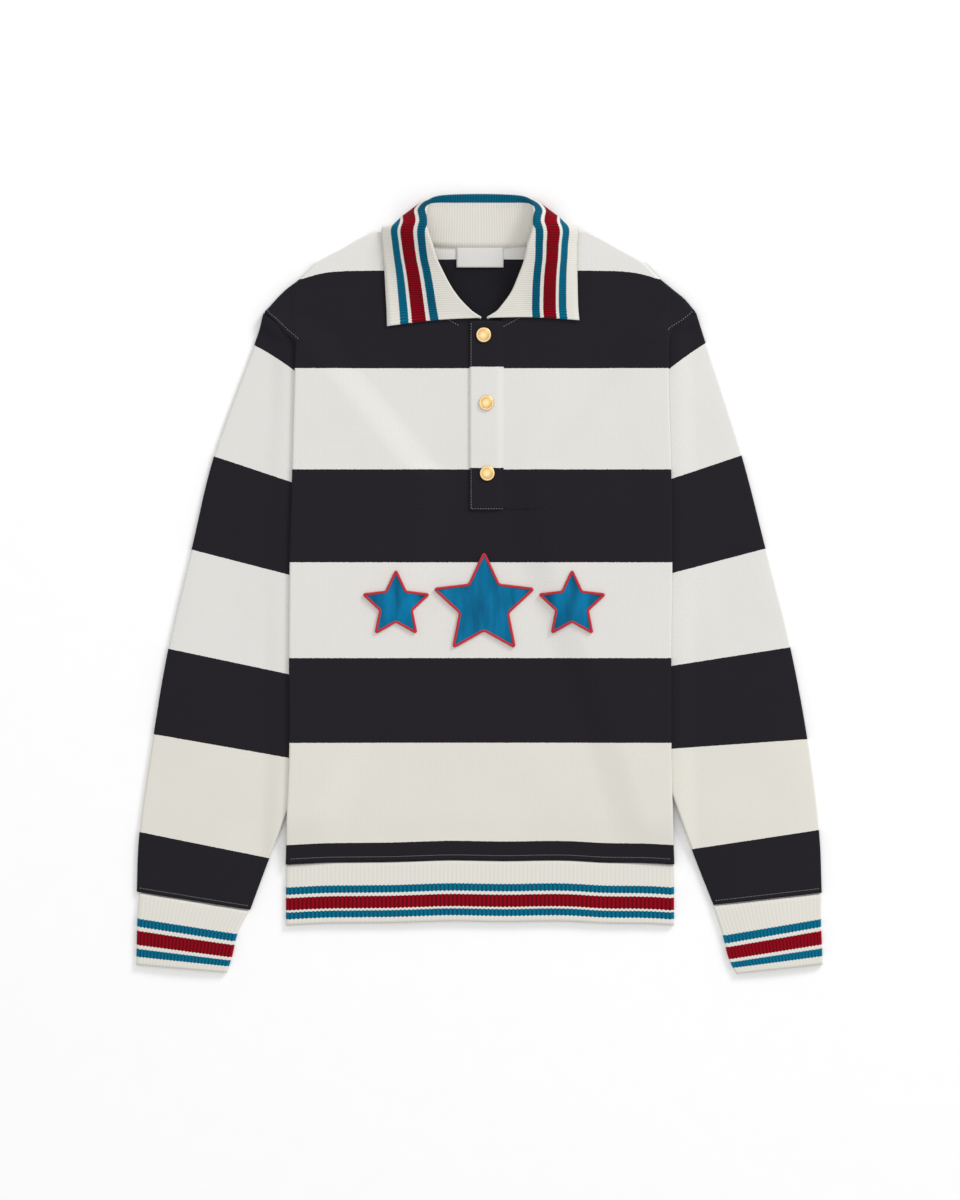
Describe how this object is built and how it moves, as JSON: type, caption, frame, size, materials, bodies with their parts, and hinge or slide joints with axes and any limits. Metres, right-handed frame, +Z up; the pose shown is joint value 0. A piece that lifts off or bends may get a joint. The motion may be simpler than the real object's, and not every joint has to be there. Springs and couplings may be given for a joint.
{
  "type": "long-sleeve polo shirt",
  "caption": "Long-sleeve knitted rugby-style polo shirt laid flat, with broad dark and light stripes, a striped rib collar, cuffs and hem, and a snap placket.",
  "frame": {"origin": "on the surface that the shirt lies on, under the centre of its outline", "axes": "+Z up from the surface, out of the front panel; +Y from the hem to the collar; +X to the viewer's right, the wearer's left"},
  "size_m": [0.6873, 0.7809, 0.0327],
  "materials": {
    "jersey": "heavy knitted cotton jersey in broad near-black and off-white stripes, matt",
    "rib": "flat-knit cotton rib, off-white with teal and dark red stripes, matt",
    "satin": "teal satin patch with a raised red corded edge, soft sheen",
    "label": "woven white label, blank",
    "snap": "polished gold-coloured domed snap cap, satin lustre"
  },
  "bodies": {
    "root": {"front": "jersey", "back": "jersey", "sleeve_right": "jersey", "sleeve_left": "jersey", "cuff_right": "rib", "cuff_left": "rib", "hem_band": "rib", "collar": "rib", "placket_top": "jersey", "placket_under": "jersey", "snap_1": "snap", "snap_2": "snap", "snap_3": "snap", "neck_label": "label", "star_middle": "satin", "star_right": "satin", "star_left": "satin"}
  },
  "joints": []
}
